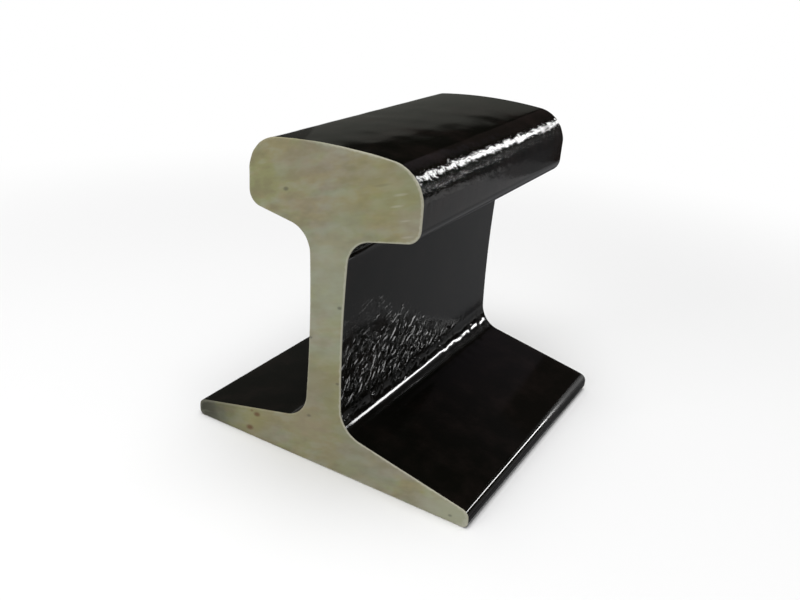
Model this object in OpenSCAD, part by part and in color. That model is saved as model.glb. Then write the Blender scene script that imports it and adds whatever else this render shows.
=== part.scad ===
// Flat-bottom railway rail of the 30 kg/m class: a short sawn piece of hot-rolled stock.
// The rail lies along Y and stands on its foot. The origin is the middle of the foot's underside.

/* [Overall] */
// Length of the sawn piece
rail_length = 106; // [20:1:1000]
// Height from the underside of the foot to the top of the crown
rail_height = 107.95; // [100:0.05:130]

/* [Foot] */
// Width of the foot
foot_width = 107.95; // [95:0.05:130]
// Thickness of the foot at its edges, before they are rounded
foot_edge = 6; // [5.5:0.1:12]
// Slope of the top of the foot, in degrees
foot_slope = 12.5; // [8:0.1:15]
// Radius of the upper edges of the foot
foot_top_round = 3; // [1:0.1:4.5]
// Radius of the lower edges of the foot
foot_bottom_round = 2; // [0.5:0.1:2.5]

/* [Web] */
// Thickness of the web at its waist
web_thickness = 12.3; // [9:0.1:18]
// Radius of the hollow sides of the web
web_radius = 500; // [300:1:900]
// Radius of the fillets between the web and the foot
foot_fillet = 10; // [5:0.1:12]
// Radius of the fillets between the web and the head
head_fillet = 9; // [5:0.1:12]

/* [Head] */
// Width of the head
head_width = 60.33; // [54:0.01:70]
// Depth from the top of the crown to the head's lower corners, before they are rounded
head_depth = 22.7; // [20:0.05:32]
// Slope of the underside of the head, in degrees
head_slope = 11; // [8:0.1:15]
// Radius of the running surface
crown_radius = 180; // [120:1:400]
// Radius of the upper corners of the head
head_top_round = 11.5; // [6:0.1:13]
// Radius of the lower corners of the head
head_bottom_round = 5; // [1:0.1:6.5]

/* [Hidden] */
$fn = 256;

// Every round is drawn larger by this much, so that it crosses the faces it runs into
tangent_bite = 0.001;
// How far the piece between a round and its corner reaches, as a multiple of the distance to that corner
corner_reach = 1.04;

foot_half = foot_width / 2;
head_half = head_width / 2;
web_half = web_thickness / 2;

// Heights at which the sloping faces of the foot and the head would meet the middle of the section
foot_peak = foot_edge + foot_half * tan(foot_slope);
head_corner = rail_height - head_depth;
head_valley = head_corner - head_half * tan(head_slope);

// Directions, in degrees, in which the faces on the right-hand side look
side_normal = 0;
underside_normal = -90;
foot_normal = 90 - foot_slope;
head_normal = head_slope - 90;

web_centre = [web_half + web_radius, (foot_peak + head_valley) / 2];
crown_centre = [0, rail_height - crown_radius];

function along(angle) = [cos(angle), sin(angle)];
function bearing(from, to) = (atan2(to[1] - from[1], to[0] - from[0]) + 360) % 360;

// Centre of a fillet between the web's hollow side and a face that meets the middle at this height
function web_fillet_centre(height, normal, radius) =
    let (
        start = [0, height] + radius * along(normal),
        outward = along(normal > 0 ? normal - 90 : normal + 90),
        gap = web_centre - start,
        nearest = gap * outward,
        half_chord = sqrt(pow(web_radius - radius, 2) - gap * gap + nearest * nearest)
    )
    start + (nearest - half_chord) * outward;

// Centre of a round between an upright side and a face that meets the middle at this height
function edge_round_centre(side, height, normal, radius) =
    let (x = side - radius)
    [x, height - (radius + x * cos(normal)) / sin(normal)];

// Centre of a round between the upright side of the head and the crown
function crown_round_centre(side, radius) =
    let (x = side - radius)
    [x, crown_centre[1] + sqrt(pow(crown_radius - radius, 2) - x * x)];

module both_sides() {
    children();
    mirror([1, 0]) children();
}

// The piece between a round and the corner it replaces, from one direction to another
module spandrel(centre, radius, first, second) {
    middle = (first + second) / 2;
    reach = radius * corner_reach;
    difference() {
        polygon([
            centre,
            centre + reach * along(first),
            centre + reach / cos(second - middle) * along(middle),
            centre + reach * along(second)
        ]);
        translate(centre) circle(r = radius + tangent_bite);
    }
}

module web_fillet(height, normal, radius) {
    centre = web_fillet_centre(height, normal, radius);
    spandrel(centre, radius, bearing(web_centre, centre), normal + 180);
}

module edge_round(side, height, normal, radius) {
    spandrel(edge_round_centre(side, height, normal, radius), radius, side_normal, normal);
}

module crown_round(side, radius) {
    centre = crown_round_centre(side, radius);
    spandrel(centre, radius, side_normal, bearing(crown_centre, centre));
}

module blank() {
    translate([-foot_half, 0]) square([foot_width, foot_peak]);
    intersection() {
        translate([-head_half, foot_edge]) square([head_width, rail_height]);
        translate(crown_centre) circle(r = crown_radius);
    }
}

// The space between the foot and the head on the right-hand side
module hollow() {
    difference() {
        intersection() {
            polygon([
                [0, foot_peak],
                [foot_width, foot_peak - foot_width * tan(foot_slope)],
                [foot_width, head_valley + foot_width * tan(head_slope)],
                [0, head_valley]
            ]);
            translate(web_centre) circle(r = web_radius);
        }
        web_fillet(foot_peak, foot_normal, foot_fillet);
        web_fillet(head_valley, head_normal, head_fillet);
    }
}

module section() {
    difference() {
        blank();
        both_sides() {
            hollow();
            edge_round(foot_half, 0, underside_normal, foot_bottom_round);
            edge_round(foot_half, foot_peak, foot_normal, foot_top_round);
            edge_round(head_half, head_valley, head_normal, head_bottom_round);
            crown_round(head_half, head_top_round);
        }
    }
}

module rail() {
    color("#17181a")
    rotate([90, 0, 0])
    linear_extrude(height = rail_length, center = true)
    section();
}

rail();
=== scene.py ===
# A short sawn piece of flat-bottom rail: gloss black coating, bare sawn ends, on a plain pale floor.
import math

import bpy
import numpy as np
from mathutils import Matrix, Vector, noise


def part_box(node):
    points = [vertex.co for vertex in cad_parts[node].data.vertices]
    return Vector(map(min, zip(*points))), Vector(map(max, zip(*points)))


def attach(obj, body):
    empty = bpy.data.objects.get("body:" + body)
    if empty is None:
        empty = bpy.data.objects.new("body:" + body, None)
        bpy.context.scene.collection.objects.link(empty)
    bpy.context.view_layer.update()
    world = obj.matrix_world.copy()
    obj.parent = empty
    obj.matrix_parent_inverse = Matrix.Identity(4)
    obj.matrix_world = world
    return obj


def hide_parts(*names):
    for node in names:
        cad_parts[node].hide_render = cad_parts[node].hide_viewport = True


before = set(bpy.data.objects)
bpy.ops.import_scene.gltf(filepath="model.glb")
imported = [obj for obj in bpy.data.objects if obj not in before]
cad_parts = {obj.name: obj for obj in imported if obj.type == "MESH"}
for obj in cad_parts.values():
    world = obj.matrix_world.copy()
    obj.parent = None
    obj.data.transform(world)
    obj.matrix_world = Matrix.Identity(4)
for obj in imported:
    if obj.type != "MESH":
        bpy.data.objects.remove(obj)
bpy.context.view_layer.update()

MM = 0.001

# Overall sizes come from the frame, in millimetres
low_corner, high_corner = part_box("rail")
FOOT_WIDTH = (high_corner[0] - low_corner[0]) / MM
RAIL_LENGTH = (high_corner[1] - low_corner[1]) / MM
RAIL_HEIGHT = (high_corner[2] - low_corner[2]) / MM
HALF_LENGTH = RAIL_LENGTH / 2

# The section's other sizes, in millimetres and degrees
FOOT_EDGE = 6.0
FOOT_SLOPE = 12.5
FOOT_TOP_ROUND = 3.0
FOOT_BOTTOM_ROUND = 2.0
WEB_THICKNESS = 12.3
WEB_RADIUS = 500.0
FOOT_FILLET = 10.0
HEAD_WIDTH = 60.33
HEAD_DEPTH = 22.7
HEAD_SLOPE = 11.0
HEAD_FILLET = 9.0
HEAD_TOP_ROUND = 11.5
HEAD_BOTTOM_ROUND = 5.0
CROWN_RADIUS = 180.0

# Distances between the mesh's points, in millimetres, and the columns across its flat underside and ends
STEP_FLAT = 2.0
STEP_ROUND = 0.6
STEP_RELIEF = 0.44
STEP_FRONT = 0.5
STEP_BACK = 0.9
END_COLUMNS = 24

# The coating is roughest in front of this place along the rail, so the mesh is finer there
ROUGH_TO = 20.0

# The saw cut: how far its edge is broken back, and how much that varies
CUT_EDGE = 0.22
CUT_EDGE_VARIES = 0.13

# The web's mesh is fine up to this height. The crinkle stays below it, and its top falls towards the back
CRINKLE_TOP = 52.0
CRINKLE_FRONT = 41.0
CRINKLE_FALL = 20.0

# The folds of the crinkle and the scratches above it lean up and back by these angles
FOLD_LEAN = 36.0
SCRATCH_LEAN = 15.0

# How far from the middle the web and its lower fillets reach, in millimetres
WEB_REACH = 10
FILLET_REACH = 20

# Depths of the coating's relief, in millimetres, and how far the sags are sunk, as a share of their depth
PEEL_DEPTH = 0.004
BEAD_DEPTH = 0.1
FINE_BEAD_DEPTH = 0.045
FOLD_DEPTH = 0.14
WAVE_DEPTH = 0.14
SAG_DEPTH = 0.09
SAG_SINK = 0.65

# Each pattern has its own place in the noise
PEEL_SEED = 3.0
BEAD_SEED = 11.0
FINE_BEAD_SEED = 17.0
FOLD_SEED = 23.0
WAVE_SEED = 29.0
PATCH_SEED = 31.0
CRINKLE_TOP_SEED = 37.0
CUT_SEED = 41.0
SAG_SEED = 53.0

# The marks that the coating's shader reads from the mesh
SHADER_MASKS = ("lumps", "crinkle", "scratches", "dull")

# The camera, in millimetres, and the frame it was matched to, in pixels
CAMERA_AT = (127.45, -240.06, 160.98)
CAMERA_LOOK = (-0.4850, 0.7730, -0.4090)
CAMERA_ROLL = -2.93
FOCAL_PIXELS = 817.8
PICTURE_WIDTH = 800
PICTURE_HEIGHT = 600
LENS_CENTRE = (354.7, 303.8)
SENSOR_WIDTH = 36.0
CLIP_START = 10.0


def along(angle):
    return np.array([math.cos(math.radians(angle)), math.sin(math.radians(angle))])


def bearing(start, end):
    return math.degrees(math.atan2(end[1] - start[1], end[0] - start[0])) % 360


def smooth(low, high, values):
    """0 below low, 1 above high and a soft step between them."""
    t = np.clip((np.asarray(values) - low) / (high - low), 0, 1)
    return t * t * (3 - 2 * t)


class Arc:
    """One round of the section. Its points run from one direction to another, seen from its centre."""

    def __init__(self, centre, radius, first, second, step, hollow=False):
        self.centre = np.array(centre)
        self.radius = radius
        self.first = first
        self.second = second
        self.step = step
        self.hollow = hollow

    def points(self):
        length = self.radius * math.radians(abs(self.second - self.first))
        angles = np.linspace(self.first, self.second, max(3, round(length / self.step) + 1))
        outward = np.array([along(angle) for angle in angles])
        return self.centre + self.radius * outward, -outward if self.hollow else outward


def section_arcs():
    """The rounds of the right-hand side, from the foot's lower edge up, and the crown."""
    foot_half = FOOT_WIDTH / 2
    head_half = HEAD_WIDTH / 2
    foot_peak = FOOT_EDGE + foot_half * math.tan(math.radians(FOOT_SLOPE))
    head_valley = RAIL_HEIGHT - HEAD_DEPTH - head_half * math.tan(math.radians(HEAD_SLOPE))
    foot_normal = 90 - FOOT_SLOPE
    head_normal = HEAD_SLOPE - 90
    web_centre = np.array([WEB_THICKNESS / 2 + WEB_RADIUS, (foot_peak + head_valley) / 2])
    crown_centre = np.array([0, RAIL_HEIGHT - CROWN_RADIUS])

    def fillet_centre(height, normal, radius):
        start = np.array([0, height]) + radius * along(normal)
        outward = along(normal - 90 if normal > 0 else normal + 90)
        gap = web_centre - start
        nearest = gap @ outward
        half_chord = math.sqrt((WEB_RADIUS - radius) ** 2 - gap @ gap + nearest ** 2)
        return start + (nearest - half_chord) * outward

    def edge_centre(side, height, normal, radius):
        x = side - radius
        rise = math.sin(math.radians(normal))
        return np.array([x, height - (radius + x * math.cos(math.radians(normal))) / rise])

    foot_fillet = fillet_centre(foot_peak, foot_normal, FOOT_FILLET)
    head_fillet = fillet_centre(head_valley, head_normal, HEAD_FILLET)
    web_bottom = bearing(web_centre, foot_fillet)
    web_top = bearing(web_centre, head_fillet)
    web_change = 180 - math.degrees(math.asin((CRINKLE_TOP - web_centre[1]) / WEB_RADIUS))
    corner_x = head_half - HEAD_TOP_ROUND
    corner_rise = math.sqrt((CROWN_RADIUS - HEAD_TOP_ROUND) ** 2 - corner_x ** 2)
    corner = np.array([corner_x, crown_centre[1] + corner_rise])
    crown_edge = bearing(crown_centre, corner)
    lower_edge = edge_centre(foot_half, 0, -90, FOOT_BOTTOM_ROUND)
    upper_edge = edge_centre(foot_half, foot_peak, foot_normal, FOOT_TOP_ROUND)
    head_edge = edge_centre(head_half, head_valley, head_normal, HEAD_BOTTOM_ROUND)
    side = [
        Arc(lower_edge, FOOT_BOTTOM_ROUND, -90, 0, STEP_ROUND),
        Arc(upper_edge, FOOT_TOP_ROUND, 0, foot_normal, STEP_RELIEF),
        Arc(foot_fillet, FOOT_FILLET, foot_normal + 180, web_bottom, STEP_ROUND, hollow=True),
        Arc(web_centre, WEB_RADIUS, web_bottom, web_change, STEP_RELIEF, hollow=True),
        Arc(web_centre, WEB_RADIUS, web_change, web_top, STEP_FLAT, hollow=True),
        Arc(head_fillet, HEAD_FILLET, web_top, head_normal + 180, STEP_ROUND, hollow=True),
        Arc(head_edge, HEAD_BOTTOM_ROUND, head_normal, 0, STEP_ROUND),
        Arc(corner, HEAD_TOP_ROUND, 0, crown_edge, STEP_RELIEF),
    ]
    return side, Arc(crown_centre, CROWN_RADIUS, crown_edge, 180 - crown_edge, STEP_FLAT)


def section_side(arcs):
    """Points and outward normals up the right-hand side, without its two ends."""
    places, normals = arcs[0].points()
    for arc in arcs[1:]:
        arc_places, arc_normals = arc.points()
        start, end = places[-1], arc_places[0]
        gap = np.linalg.norm(end - start)
        if gap < STEP_RELIEF / 4:
            arc_places, arc_normals = arc_places[1:], arc_normals[1:]
        pieces = max(1, round(gap / STEP_FLAT))
        flat = np.arange(1, pieces)[:, None] / pieces
        places = np.vstack([places, start + (end - start) * flat, arc_places])
        normals = np.vstack([normals, np.repeat(normals[-1:], len(flat), axis=0), arc_normals])
    return places[1:-1], normals[1:-1]


def section_loop():
    """The whole section, anticlockwise from the left end of the underside."""
    arcs, crown = section_arcs()
    side, side_normals = section_side(arcs)
    flip = np.array([-1, 1])
    foot_flat = arcs[0].centre[0]
    bottom = np.linspace((-foot_flat, 0), (foot_flat, 0), END_COLUMNS + 1)
    bottom_normals = np.tile([0.0, -1.0], (END_COLUMNS + 1, 1))
    crown_angles = np.linspace(crown.first, crown.second, END_COLUMNS + 1)
    crown_normals = np.array([along(angle) for angle in crown_angles])
    top = crown.centre + crown.radius * crown_normals
    places = np.vstack([bottom, side, top, side[::-1] * flip])
    normals = np.vstack([bottom_normals, side_normals, crown_normals, side_normals[::-1] * flip])
    return places, normals, len(side)


def wobble(points, scale, shift):
    """Smooth noise between -1 and 1, with bumps about 1 / scale millimetres across."""
    return np.array([noise.noise(Vector(p)) for p in points * np.array(scale) + shift])


def coat_masks(points, normals):
    """How lumpy, crinkled, scratched, rippled, sagged and dull the coating is at each point, from 0 to 1."""
    x, y, z = np.abs(points[:, 0]), points[:, 1], points[:, 2]
    lean = np.degrees(np.arctan2(normals[:, 1], np.abs(normals[:, 0])))
    patch = wobble(points, (0.05, 0.05, 0.05), PATCH_SEED)
    corner = smooth(86, 94, z) * smooth(-5, 8, lean) * (1 - smooth(52, 72, lean))
    top = CRINKLE_FRONT - CRINKLE_FALL * smooth(-22, 26, y) + 4 * patch
    top += 5 * wobble(points, (0.16, 0.16, 0.16), CRINKLE_TOP_SEED)
    low_web = (x < WEB_REACH) * smooth(18.6, 20.5, z) * (1 - smooth(-3, 5, z - top))
    above = (x < WEB_REACH) * smooth(1, 4, z - top) * (1 - smooth(10, 15, z - top))
    in_fillet = (x < FILLET_REACH) * smooth(14, 16, z) * (1 - smooth(20, 24, z))
    edge = FOOT_WIDTH / 2 - FOOT_TOP_ROUND
    on_edge = smooth(edge + 0.5, edge + 1.5, x) * (z > FOOT_BOTTOM_ROUND)
    return {
        "lumps": corner * (0.8 - 0.15 * smooth(-42, -5, y) + 0.35 * smooth(26, 44, y)),
        "crinkle": low_web * (0.55 + 0.4 * smooth(-44, -24, y) - 0.75 * smooth(6, 28, y)),
        "scratches": above * (1 - smooth(-32, -22, y)),
        "ripples": in_fillet * (0.08 + 0.92 * smooth(4, 26, y)),
        "sags": smooth(90, 96, z) * smooth(50, 66, lean) * (1 - smooth(10, 40, y)),
        "dull": on_edge * smooth(3, 34, y + 10 * patch),
    }


def coat_relief(points, masks):
    """Height of the coating's surface above the rolled section, in millimetres."""
    x, y, z = points.T
    peel = PEEL_DEPTH * wobble(points, (0.2, 0.2, 0.2), PEEL_SEED)
    beads = BEAD_DEPTH * wobble(points, (0.42, 0.36, 0.42), BEAD_SEED)
    beads = beads + FINE_BEAD_DEPTH * wobble(points, (0.95, 0.8, 0.95), FINE_BEAD_SEED)
    lengthwise, upward = along(FOLD_LEAN)
    slant = np.stack([x, y * lengthwise + z * upward, z * lengthwise - y * upward], axis=1)
    folds = FOLD_DEPTH * smooth(0.0, 0.6, wobble(slant, (0.6, 0.32, 0.68), FOLD_SEED))
    waves = WAVE_DEPTH * wobble(points, (0.2, 0.3, 0.2), WAVE_SEED)
    sags = SAG_DEPTH * (wobble(points, (0.16, 0.1, 0.16), SAG_SEED) - SAG_SINK)
    relief = peel + masks["lumps"] * beads + masks["crinkle"] * folds
    return relief + masks["ripples"] * waves + masks["sags"] * sags


def build_rail():
    """One closed mesh: the coated sides, the broken edges of the saw cuts and the two sawn ends."""
    places, normals, side_count = section_loop()
    count = len(places)
    coated = HALF_LENGTH - CUT_EDGE
    front = np.linspace(-coated, ROUGH_TO, round((coated + ROUGH_TO) / STEP_FRONT))
    back = np.linspace(ROUGH_TO, coated, round((coated - ROUGH_TO) / STEP_BACK))
    rings = np.concatenate([[-HALF_LENGTH], front, back[1:], [HALF_LENGTH]])
    ring_count = len(rings)
    points = np.array([[x, y, z] for y in rings for x, z in places])
    outward = np.tile(normals, (ring_count, 1))
    ring_of = np.repeat(np.arange(ring_count), count)
    masks = coat_masks(points, outward)
    height = coat_relief(points, masks)
    height[points[:, 2] < FOOT_BOTTOM_ROUND] = 0
    at_end = (ring_of == 0) | (ring_of == ring_count - 1)
    height[at_end] -= CUT_EDGE + CUT_EDGE_VARIES * wobble(points[at_end], (0.35, 0.35, 0.35), CUT_SEED)
    points[:, 0] += outward[:, 0] * height
    points[:, 2] += outward[:, 1] * height

    faces, finish = [], []
    for ring in range(ring_count - 1):
        sawn = ring in (0, ring_count - 2)
        for i in range(count):
            a, b = ring * count + i, ring * count + (i + 1) % count
            faces.append((a, a + count, b + count, b))
            finish.append(1 if sawn else 0)

    rows = side_count + 2
    right = END_COLUMNS + 1
    crown = right + side_count
    left = crown + END_COLUMNS + 1
    extra = []
    for ring, turned in ((0, False), (ring_count - 1, True)):
        base = ring * count
        grid = np.zeros((rows, END_COLUMNS + 1), dtype=int)
        grid[0] = base + np.arange(END_COLUMNS + 1)
        grid[-1] = base + crown + END_COLUMNS - np.arange(END_COLUMNS + 1)
        for row in range(1, rows - 1):
            first = base + left + side_count - row
            last = base + right + row - 1
            grid[row, 0], grid[row, -1] = first, last
            for column in range(1, END_COLUMNS):
                t = column / END_COLUMNS
                grid[row, column] = len(points) + len(extra)
                extra.append(points[first] * (1 - t) + points[last] * t)
        for row in range(rows - 1):
            for column in range(END_COLUMNS):
                quad = (*grid[row, column:column + 2], *grid[row + 1, column:column + 2][::-1])
                faces.append(quad[::-1] if turned else quad)
                finish.append(1)

    everything = np.vstack([points, extra])
    mesh = bpy.data.meshes.new("rail_body")
    mesh.from_pydata((everything * MM).tolist(), [], [tuple(map(int, face)) for face in faces])
    mesh.polygons.foreach_set("material_index", finish)
    mesh.polygons.foreach_set("use_smooth", [True] * len(faces))
    ring_all = np.concatenate([ring_of, np.full(len(extra), -1)])
    ends = np.empty(len(mesh.edges) * 2, dtype=int)
    mesh.edges.foreach_get("vertices", ends)
    edge_rings = ring_all[ends.reshape(-1, 2)]
    cut_rings = np.isin(edge_rings[:, 0], (0, 1, ring_count - 2, ring_count - 1))
    mesh.edges.foreach_set("use_edge_sharp", cut_rings & (edge_rings[:, 0] == edge_rings[:, 1]))
    loop_steps = np.vstack([places, (places + np.roll(places, -1, axis=0)) / 2])
    inset = [np.linalg.norm(loop_steps - point[[0, 2]], axis=1).min() for point in np.array(extra)]
    marks = {name: np.concatenate([masks[name], np.zeros(len(extra))]) for name in SHADER_MASKS}
    marks["inset"] = np.concatenate([np.zeros(len(points)), inset])
    for name, values in marks.items():
        mesh.attributes.new(name, "FLOAT", "POINT").data.foreach_set("value", values)
    mesh.update()
    mesh.validate()
    piece = bpy.data.objects.new("rail_body", mesh)
    bpy.context.collection.objects.link(piece)
    return piece


class Shader:
    """Adds nodes to one node tree. An input that is a socket is linked, and any other is set."""

    def __init__(self, tree):
        self.tree = tree
        tree.nodes.clear()

    def add(self, kind, inputs=None, **settings):
        made = self.tree.nodes.new(kind)
        for key, value in settings.items():
            setattr(made, key, value)
        for key, value in (inputs or {}).items():
            if isinstance(value, bpy.types.NodeSocket):
                self.tree.links.new(value, made.inputs[key])
            else:
                made.inputs[key].default_value = value
        return made

    def math(self, operation, *values):
        return self.add("ShaderNodeMath", dict(enumerate(values)), operation=operation).outputs[0]

    def mix(self, share, first, second):
        return self.add("ShaderNodeMix", {0: share, 6: first, 7: second}, data_type="RGBA").outputs[2]

    def step(self, value, low, high):
        inputs = {"Value": value, "From Min": low, "From Max": high}
        return self.add("ShaderNodeMapRange", inputs, interpolation_type="SMOOTHSTEP").outputs[0]

    def noise(self, place, scale, detail=2.0, rough=0.5, swirl=0.0):
        inputs = {"Vector": place, "Scale": scale, "Detail": detail, "Roughness": rough, "Distortion": swirl}
        return self.add("ShaderNodeTexNoise", inputs).outputs[0]

    def bump(self, height, depth, normal=None):
        inputs = {"Height": height, "Distance": depth * MM}
        if normal:
            inputs["Normal"] = normal
        return self.add("ShaderNodeBump", inputs).outputs[0]

    def attribute(self, name):
        return self.add("ShaderNodeAttribute", attribute_name=name).outputs["Fac"]

    def millimetres(self):
        place = self.add("ShaderNodeTexCoord").outputs["Object"]
        return self.add("ShaderNodeVectorMath", {0: place, "Scale": 1 / MM}, operation="SCALE").outputs[0]

    def grain(self, place, lengths, turn=(0, 0, 0)):
        """Coordinates for a pattern whose features are this long on axes turned by these angles."""
        inputs = {"Vector": place, "Rotation": tuple(math.radians(a) for a in turn), "Scale": lengths}
        return self.add("ShaderNodeMapping", inputs, vector_type="TEXTURE").outputs[0]

    def spot(self, place, centre, radius, softness, lengths, turn):
        """1 inside a spot and 0 outside it. Its shape is a ball, stretched by lengths on turned axes."""
        gap = self.add("ShaderNodeVectorMath", {0: place, 1: centre}, operation="SUBTRACT").outputs[0]
        gap = self.grain(gap, lengths, turn)
        gap = self.add("ShaderNodeVectorMath", {0: gap}, operation="LENGTH").outputs["Value"]
        return self.math("SUBTRACT", 1.0, self.step(gap, radius * (1 - softness), radius * (1 + softness)))

    def finish(self, surface):
        self.add("ShaderNodeOutputMaterial", {"Surface": surface})


def new_material(name):
    material = bpy.data.materials.new(name)
    material.use_nodes = True
    return material, Shader(material.node_tree)


# The coating's colours, clean and dusty
COAT_BLACK = (0.003, 0.0029, 0.0021, 1)
COAT_DUST = (0.0078, 0.0058, 0.0048, 1)

# The clean coating's roughness, what smears and the dull edge add to it, and its specular level
COAT_ROUGHNESS = 0.05
SMEAR_ROUGHNESS = 0.08
DULL_ROUGHNESS = 0.45
COAT_SPECULAR = 0.15

# Depths of the finer relief that bump adds, in millimetres
SKIN_BUMP = 0.003
GRAIN_BUMP = 0.1
FOLD_BUMP = 0.75
SCRATCH_BUMP = 0.12


def black_coat():
    """Gloss black coating: orange-peel skin, lumps on the head's corners, a fine crinkle low on the web."""
    material, shade = new_material("black_coat")
    place = shade.millimetres()
    dust = shade.noise(place, 0.09, 4.0, 0.6)
    colour = shade.mix(shade.step(dust, 0.4, 0.75), COAT_BLACK, COAT_DUST)
    smear = shade.noise(shade.grain(place, (2.0, 16.0, 2.0)), 1.0, 3.0)
    roughness = shade.math("MULTIPLY_ADD", smear, SMEAR_ROUGHNESS, COAT_ROUGHNESS)
    roughness = shade.math("MULTIPLY_ADD", shade.attribute("dull"), DULL_ROUGHNESS, roughness)
    skin = shade.bump(shade.noise(place, 0.8, 2.0), SKIN_BUMP)
    grainy = shade.math("MAXIMUM", shade.attribute("lumps"), shade.attribute("dull"))
    grains = shade.math("MULTIPLY", shade.noise(place, 1.2, 1.0), grainy)
    skin = shade.bump(grains, GRAIN_BUMP, skin)
    folds = shade.noise(shade.grain(place, (2.2, 3.4, 2.2), (FOLD_LEAN, 0, 0)), 1.0, 0.0, 0.5, 0.6)
    folds = shade.math("MULTIPLY", shade.step(folds, 0.5, 0.8), shade.attribute("crinkle"))
    skin = shade.bump(folds, FOLD_BUMP, skin)
    lines = shade.noise(shade.grain(place, (0.5, 7.0, 0.5), (SCRATCH_LEAN, 0, 0)), 1.0, 0.0)
    lines = shade.math("MULTIPLY", shade.step(lines, 0.62, 0.8), shade.attribute("scratches"))
    skin = shade.bump(lines, SCRATCH_BUMP, skin)
    shader = shade.add(
        "ShaderNodeBsdfPrincipled",
        {
            "Base Color": colour,
            "Roughness": roughness,
            "IOR": 1.5,
            "Specular IOR Level": COAT_SPECULAR,
            "Normal": skin,
        },
    )
    shade.finish(shader.outputs[0])
    return material


# The saw's scratches rise to the right at this angle, and are this deep, in millimetres
SAW_LEAN = 18.0
SAW_BUMP = 0.02

# The bare steel's shader values
STEEL_METALLIC = 0.1
STEEL_ROUGHNESS = 0.85
STEEL_SPECULAR = 0.25

# Tints of the bare steel, and stain marks and painted shade on the front end: x and z of the middle, radius,
# strength and tint
OLIVE = (0.26, 0.246, 0.105, 1)
BLUISH = (0.248, 0.249, 0.195, 1)
ROSE = (0.28, 0.231, 0.165, 1)
SAGE = (0.242, 0.268, 0.16, 1)
MIST = (0.305, 0.313, 0.233, 1)
DIM = (0.2, 0.181, 0.106, 1)
SLATE = (0.028, 0.031, 0.022, 1)
RUST = (0.12, 0.055, 0.028, 1)
INK = (0.075, 0.072, 0.055, 1)
PALE = (0.33, 0.335, 0.25, 1)
# BRIGHT is also the painted highlight on the cut's broken edge
BRIGHT = (0.42, 0.41, 0.33, 1)
SMUDGES_AND_SHADE = [
    (18, 97, 10, 0.5, OLIVE),
    (-20, 97, 7, 0.3, OLIVE),
    (-8, 101, 7, 0.35, ROSE),
    (-12, 88, 6, 0.3, ROSE),
    (5, 86, 6, 0.4, BLUISH),
    (0, 70, 11, 0.6, MIST),
    (0, 50, 13, 0.35, MIST),
    (2, 33, 6, 0.35, OLIVE),
    # These three DIM smudges on the lower web and the foot are painted shade, darkening the bottom of the
    # face
    (0, 28, 11, 0.5, DIM),
    (8, 9, 13, 0.35, DIM),
    (-6, 14, 7, 0.5, ROSE),
    (-28, 7, 11, 0.5, DIM),
    (-28, 7, 4, 0.5, OLIVE),
    (16, 6, 8, 0.4, BLUISH),
    (49, 3, 9, 0.8, PALE),
    (-54, 3, 11, 0.9, SLATE),
]
SPOTS = [
    (-27.3, 9.6, 1.0, 0.8, RUST),
    (-29.5, 10.3, 0.5, 0.5, RUST),
    (-30.5, 3.2, 1.1, 0.8, RUST),
    (-16, 92, 0.7, 0.6, INK),
    (4.8, 59, 0.6, 0.7, INK),
    (5.2, 33, 0.5, 0.6, INK),
    (-5.6, 46, 0.5, 0.7, INK),
    (-5.4, 17.5, 0.6, 0.5, INK),
    (48, 2.4, 0.5, 0.6, INK),
    (38, 6.5, 0.6, 0.5, OLIVE),
]
MARKS = [
    (23, 98, 0.9, 0.35, BRIGHT),
    (22, 94.5, 0.8, 0.4, BRIGHT),
    (25, 91, 0.7, 0.35, BRIGHT),
    (26, 86.5, 0.8, 0.35, BRIGHT),
    (17, 99.5, 1.1, 0.2, INK),
]


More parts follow.
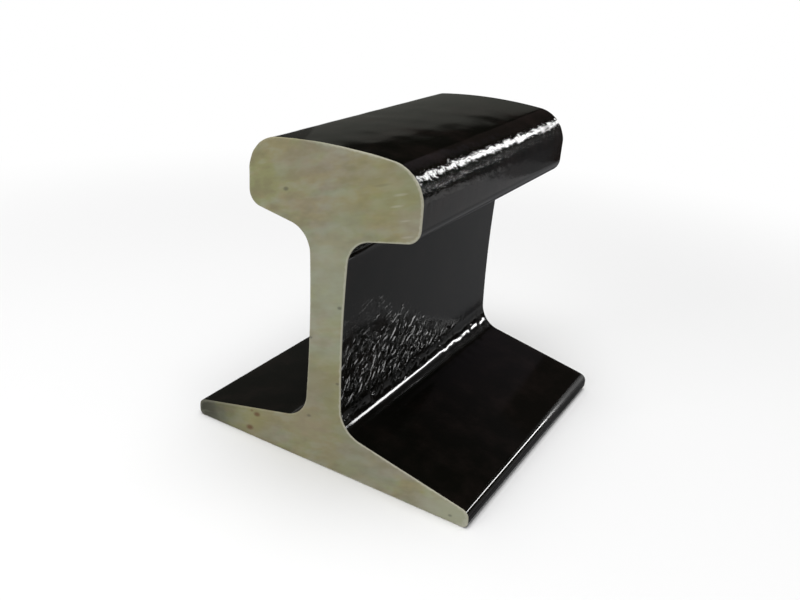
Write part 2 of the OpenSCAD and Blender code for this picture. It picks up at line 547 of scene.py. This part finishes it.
def sawn_steel():
    """Dull bare steel of a saw cut: mottled khaki grey, faint slanting scratches, stain marks, painted shade
    low on the front, and a pale edge with a painted highlight that is strongest on the right.
    """
    material, shade = new_material("sawn_steel")
    place = shade.millimetres()
    saw_turn = (0, -SAW_LEAN, 0)
    slant = shade.grain(place, (1.7, 1.0, 0.8), saw_turn)
    warm = shade.step(shade.noise(slant, 0.1, 3.0, 0.55), 0.43, 0.59)
    green = shade.step(shade.noise(slant, 0.14, 3.0, 0.55), 0.43, 0.59)
    colour = shade.mix(0.5, shade.mix(warm, OLIVE, BLUISH), shade.mix(green, ROSE, SAGE))
    blotch = shade.noise(slant, 0.24, 2.0, 0.55)
    colour = shade.mix(shade.math("MULTIPLY", shade.step(blotch, 0.44, 0.72), 0.75), colour, DIM)
    colour = shade.mix(shade.math("MULTIPLY", shade.step(blotch, 0.5, 0.28), 0.6), colour, MIST)
    stir = shade.add("ShaderNodeTexNoise", {"Vector": place, "Scale": 0.3, "Detail": 3.0}).outputs["Color"]
    stir = shade.add("ShaderNodeVectorMath", {0: stir, 1: (0.5, 0.5, 0.5)}, operation="SUBTRACT").outputs[0]
    stirred = {0: stir, 1: (6.0, 0.0, 6.0), 2: place}
    stirred = shade.add("ShaderNodeVectorMath", stirred, operation="MULTIPLY_ADD").outputs[0]
    # The smudges include painted shade on the lower part of the face
    for tints_and_shade, where, softness, lengths in (
        (SMUDGES_AND_SHADE, stirred, 0.9, (1.2, 1.0, 0.9)),
        (SPOTS, place, 0.6, (1.3, 1.0, 0.8)),
        (MARKS, place, 0.6, (2.2, 1.0, 0.35)),
    ):
        for x, z, radius, strength, tint in tints_and_shade:
            spot = shade.spot(where, (x, -HALF_LENGTH, z), radius, softness, lengths, saw_turn)
            colour = shade.mix(shade.math("MULTIPLY", spot, strength), colour, tint)
    streaks = shade.noise(shade.grain(place, (9.0, 1.0, 1.3), saw_turn), 1.0, 3.0, 0.6)
    colour = shade.mix(shade.math("MULTIPLY", shade.step(streaks, 0.54, 0.75), 0.14), colour, DIM)
    colour = shade.mix(shade.math("MULTIPLY", shade.step(streaks, 0.45, 0.28), 0.14), colour, MIST)
    # The broken edge is paler. It is partly bare metal and partly a painted highlight, which is brightest on
    # the right side where the light falls.
    frayed = shade.math("MULTIPLY_ADD", shade.noise(place, 1.1, 2.0), 1.1, shade.attribute("inset"))
    rim_and_highlight = shade.math("SUBTRACT", 1.0, shade.step(frayed, 0.55, 1.4))
    right = shade.step(shade.add("ShaderNodeSeparateXYZ", {0: place}).outputs["X"], -10.0, 8.0)
    rim_and_highlight = shade.math("MULTIPLY", rim_and_highlight, shade.math("MULTIPLY_ADD", right, 0.65, 0.15))
    colour = shade.mix(rim_and_highlight, colour, BRIGHT)
    shader = shade.add(
        "ShaderNodeBsdfPrincipled",
        {
            "Base Color": colour,
            "Metallic": STEEL_METALLIC,
            "Roughness": STEEL_ROUGHNESS,
            "Specular IOR Level": STEEL_SPECULAR,
            "Normal": shade.bump(streaks, SAW_BUMP),
        },
    )
    shade.finish(shader.outputs[0])
    return material


def seen_directly(shade):
    """1 for camera, glossy and transmission rays, and 0 for the rays that light things."""
    path = shade.add("ShaderNodeLightPath").outputs
    either = shade.math("MAXIMUM", path["Is Camera Ray"], path["Is Glossy Ray"])
    return shade.math("MAXIMUM", either, path["Is Transmission Ray"])


# The floor's size and the distances between which it runs out into white, in metres
FLOOR_SIZE = 12.0
FLOOR_FADES_FROM = 0.16
FLOOR_FADES_TO = 0.42
FLOOR_TONE = (0.87, 0.87, 0.87, 1)
WHITE = (1, 1, 1, 1)


def build_floor():
    """A plain pale floor that keeps the shadow near the rail and runs out into the white background."""
    mesh = bpy.data.meshes.new("floor")
    reach = FLOOR_SIZE / 2
    corners = [(-reach, -reach, 0), (reach, -reach, 0), (reach, reach, 0), (-reach, reach, 0)]
    mesh.from_pydata(corners, [], [(0, 1, 2, 3)])
    floor = bpy.data.objects.new("floor", mesh)
    bpy.context.collection.objects.link(floor)
    material, shade = new_material("pale_floor")
    place = shade.add("ShaderNodeTexCoord").outputs["Object"]
    distance = shade.add("ShaderNodeVectorMath", {0: place}, operation="LENGTH").outputs["Value"]
    far = shade.step(distance, FLOOR_FADES_FROM, FLOOR_FADES_TO)
    pale = shade.add("ShaderNodeBsdfDiffuse", {"Color": FLOOR_TONE}).outputs[0]
    white = shade.add("ShaderNodeEmission", {"Color": WHITE, "Strength": 1.0}).outputs[0]
    share = shade.math("MULTIPLY", far, seen_directly(shade))
    shade.finish(shade.add("ShaderNodeMixShader", {0: share, 1: pale, 2: white}).outputs[0])
    mesh.materials.append(material)


# Strength of the world's light where it isn't seen
AMBIENT = 0.32


def build_world():
    """White where it is seen, and soft grey light everywhere else."""
    world = bpy.data.worlds.new("studio")
    bpy.context.scene.world = world
    world.use_nodes = True
    shade = Shader(world.node_tree)
    light = shade.add("ShaderNodeBackground", {"Color": WHITE, "Strength": AMBIENT}).outputs[0]
    white = shade.add("ShaderNodeBackground", {"Color": WHITE, "Strength": 1.0}).outputs[0]
    mixed = shade.add("ShaderNodeMixShader", {0: seen_directly(shade), 1: light, 2: white}).outputs[0]
    shade.add("ShaderNodeOutputWorld", {"Surface": mixed})


def softbox(name, place, target, width, height, power):
    """A rectangular lamp, in millimetres and watts, that faces a point."""
    lamp = bpy.data.lights.new(name, "AREA")
    lamp.shape = "RECTANGLE"
    lamp.size = width * MM
    lamp.size_y = height * MM
    lamp.energy = power
    holder = bpy.data.objects.new(name, lamp)
    at = Vector(place) * MM
    facing = (Vector(target) * MM - at).to_track_quat("-Z", "Y").to_matrix()
    holder.matrix_world = Matrix.Translation(at) @ facing.to_4x4()
    bpy.context.collection.objects.link(holder)


def strip_light(name, start, end, thickness, power, shape):
    """A strip lamp between two points, in millimetres and watts. It faces the rail and lights only gloss."""
    lamp = bpy.data.lights.new(name, "AREA")
    lamp.shape = shape
    start, end = Vector(start) * MM, Vector(end) * MM
    lamp.size = (end - start).length
    lamp.size_y = thickness * MM
    lamp.energy = power
    holder = bpy.data.objects.new(name, lamp)
    middle = (start + end) / 2
    lengthwise = (end - start).normalized()
    across = middle.cross(lengthwise).normalized()
    facing = Matrix((lengthwise, across, lengthwise.cross(across))).transposed()
    holder.matrix_world = Matrix.Translation(middle) @ facing.to_4x4()
    holder.visible_diffuse = False
    bpy.context.collection.objects.link(holder)


# The curved cards round the rail: distance and heights in millimetres, and degrees for each facet
FLAG_DISTANCE = 2600
FLAG_STEP = 6
FLAG_TOP = 3300
CARD_TOP = 790
END_TOP = 600
FADE_FROM = 1490
FADE_TO = 2450

# Tones of the studio's cards
BLACK_FELT = (0.004, 0.004, 0.004, 1)
BROWN_FELT = (0.05, 0.038, 0.036, 1)
GREY_CARD = (0.128, 0.13, 0.116, 1)
DIM_CARD = (0.07, 0.071, 0.064, 1)
FLOOR_CARD = (0.36, 0.365, 0.375, 1)
FAR_FLOOR_CARD = (0.57, 0.57, 0.58, 1)
GLOW_CARD = (0.15, 0.13, 0.15, 1)
NEAR_CARD = (0.12, 0.12, 0.125, 1)
END_CARD = (0.22, 0.22, 0.225, 1)


def card(name, corners, faces, tone, upper_tone=None):
    """A studio card, in millimetres, that shows only in reflections. It may fade upwards to another tone."""
    mesh = bpy.data.meshes.new(name)
    mesh.from_pydata([tuple(value * MM for value in corner) for corner in corners], [], faces)
    panel = bpy.data.objects.new(name, mesh)
    bpy.context.collection.objects.link(panel)
    material, shade = new_material(name)
    if upper_tone:
        height = shade.add("ShaderNodeSeparateXYZ", {0: shade.millimetres()}).outputs["Z"]
        tone = shade.mix(shade.step(height, FADE_FROM, FADE_TO), tone, upper_tone)
    shade.finish(shade.add("ShaderNodeEmission", {"Color": tone, "Strength": 1.0}).outputs[0])
    mesh.materials.append(material)
    panel.visible_camera = False
    panel.visible_diffuse = False
    panel.visible_shadow = False
    panel.visible_transmission = False


def flag(name, first, last, low, high, tone, upper_tone=None):
    """An upright curved card round the rail, between two angles from +Y towards +X."""
    corners = []
    for angle in np.radians(np.linspace(first, last, round((last - first) / FLAG_STEP) + 1)):
        x, y = FLAG_DISTANCE * math.sin(angle), FLAG_DISTANCE * math.cos(angle)
        corners += [(x, y, low), (x, y, high)]
    faces = [(i, i + 2, i + 3, i + 1) for i in range(0, len(corners) - 2, 2)]
    card(name, corners, faces, tone, upper_tone)


def flat_card(name, corners, tone):
    card(name, corners, [tuple(range(len(corners)))], tone)


def build_lights():
    strip_light("head_strip", (531, 1915, 580), (684, 1568, 1056), 220, 8.2, "ELLIPSE")
    strip_light("foot_strip", (478, 850, 237), (651, 689, 349), 92, 3.9, "RECTANGLE")
    softbox("overhead", (40, -60, 900), (0, 0, 0), 700, 700, 7.2)
    softbox("front_fill", (-250, -800, 350), (0, -50, 50), 500, 500, 2.2)
    beside = [(60, -80, 1), (120, -80, 1), (120, 330, 1), (34, 330, 1), (34, 54.5, 1), (60, 54.5, 1)]
    flat_card("floor_card", beside, FLOOR_CARD)
    flat_card("back_card", [(-60, 54.5, 1), (34, 54.5, 1), (34, 330, 1), (-60, 330, 1)], NEAR_CARD)
    flat_card("far_floor_card", [(120, -80, 1), (430, -80, 1), (430, 330, 1), (120, 330, 1)], FAR_FLOOR_CARD)
    flat_card("foot_card", [(54.4, -80, 0.5), (60, -80, 0.5), (60, 54, 0.5), (54.4, 54, 0.5)], NEAR_CARD)
    flat_card("near_card", [(-60, 330, 0), (190, 330, 0), (190, 330, 82), (-60, 330, 82)], NEAR_CARD)
    behind = [(-60, 328, 0), (175, 328, 0), (165, 328, 90), (150, 328, 160), (-60, 328, 160)]
    flat_card("end_card", behind, END_CARD)
    flat_card("foot_shade", [(30, 150, 62), (66, 150, 62), (66, 150, 118), (30, 150, 118)], BROWN_FELT)
    beyond = [(66, 150, 62), (100, 150, 62), (135, 150, 90), (135, 150, 118), (66, 150, 118)]
    flat_card("corner_shade", beyond, NEAR_CARD)
    left = [(-330, -60, 1), (-56, -60, 1), (-56, 54.5, 1), (-60, 54.5, 1), (-60, 330, 1), (-330, 330, 1)]
    flat_card("left_card", left, DIM_CARD)
    flat_card("head_shade", [(168, 274, 131), (280, 170, 168), (280, 170, 240), (168, 274, 208)], BLACK_FELT)
    flat_card("end_shade", [(140, 300, 122), (168, 274, 131), (168, 274, 208), (140, 300, 200)], END_CARD)
    flat_card("side_card", [(866, 500, 0), (985, 174, 0), (985, 174, 300), (866, 500, 300)], WHITE)
    flag("back_flag", 26, 78, 0, FLAG_TOP, BLACK_FELT)
    flag("end_flag", 8, 26, END_TOP, FLAG_TOP, BLACK_FELT)
    flag("end_glow", 8, 26, 0, END_TOP, END_CARD)
    flag("rear_flag", -14, 8, 0, FADE_FROM, BROWN_FELT)
    flag("rear_glow", -14, 8, FADE_FROM, FLAG_TOP, GLOW_CARD, BLACK_FELT)
    flag("rear_card", 322, 346, 0, CARD_TOP, GREY_CARD)
    flag("low_card", 78, 322, 0, CARD_TOP, DIM_CARD)
    flag("high_flag", 78, 346, CARD_TOP, FLAG_TOP, BLACK_FELT)


def build_camera():
    camera = bpy.data.cameras.new("camera")
    camera.sensor_width = SENSOR_WIDTH
    camera.lens = FOCAL_PIXELS / PICTURE_WIDTH * SENSOR_WIDTH
    camera.shift_x = (PICTURE_WIDTH / 2 - LENS_CENTRE[0]) / PICTURE_WIDTH
    camera.shift_y = (LENS_CENTRE[1] - PICTURE_HEIGHT / 2) / PICTURE_WIDTH
    camera.clip_start = CLIP_START * MM
    holder = bpy.data.objects.new("camera", camera)
    look = Vector(CAMERA_LOOK).normalized()
    level = look.cross(Vector((0, 0, 1))).normalized()
    roll = math.radians(CAMERA_ROLL)
    up = level.cross(look) * math.cos(roll) + level * math.sin(roll)
    right = look.cross(up)
    turned = Matrix((right, up, -look)).transposed().to_4x4()
    holder.matrix_world = Matrix.Translation(Vector(CAMERA_AT) * MM) @ turned
    bpy.context.collection.objects.link(holder)
    bpy.context.scene.camera = holder


bpy.context.scene.view_settings.view_transform = "Standard"
build_camera()
build_world()
build_floor()
build_lights()
rail = build_rail()
rail.data.materials.append(black_coat())
rail.data.materials.append(sawn_steel())
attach(rail, "root")
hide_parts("rail")
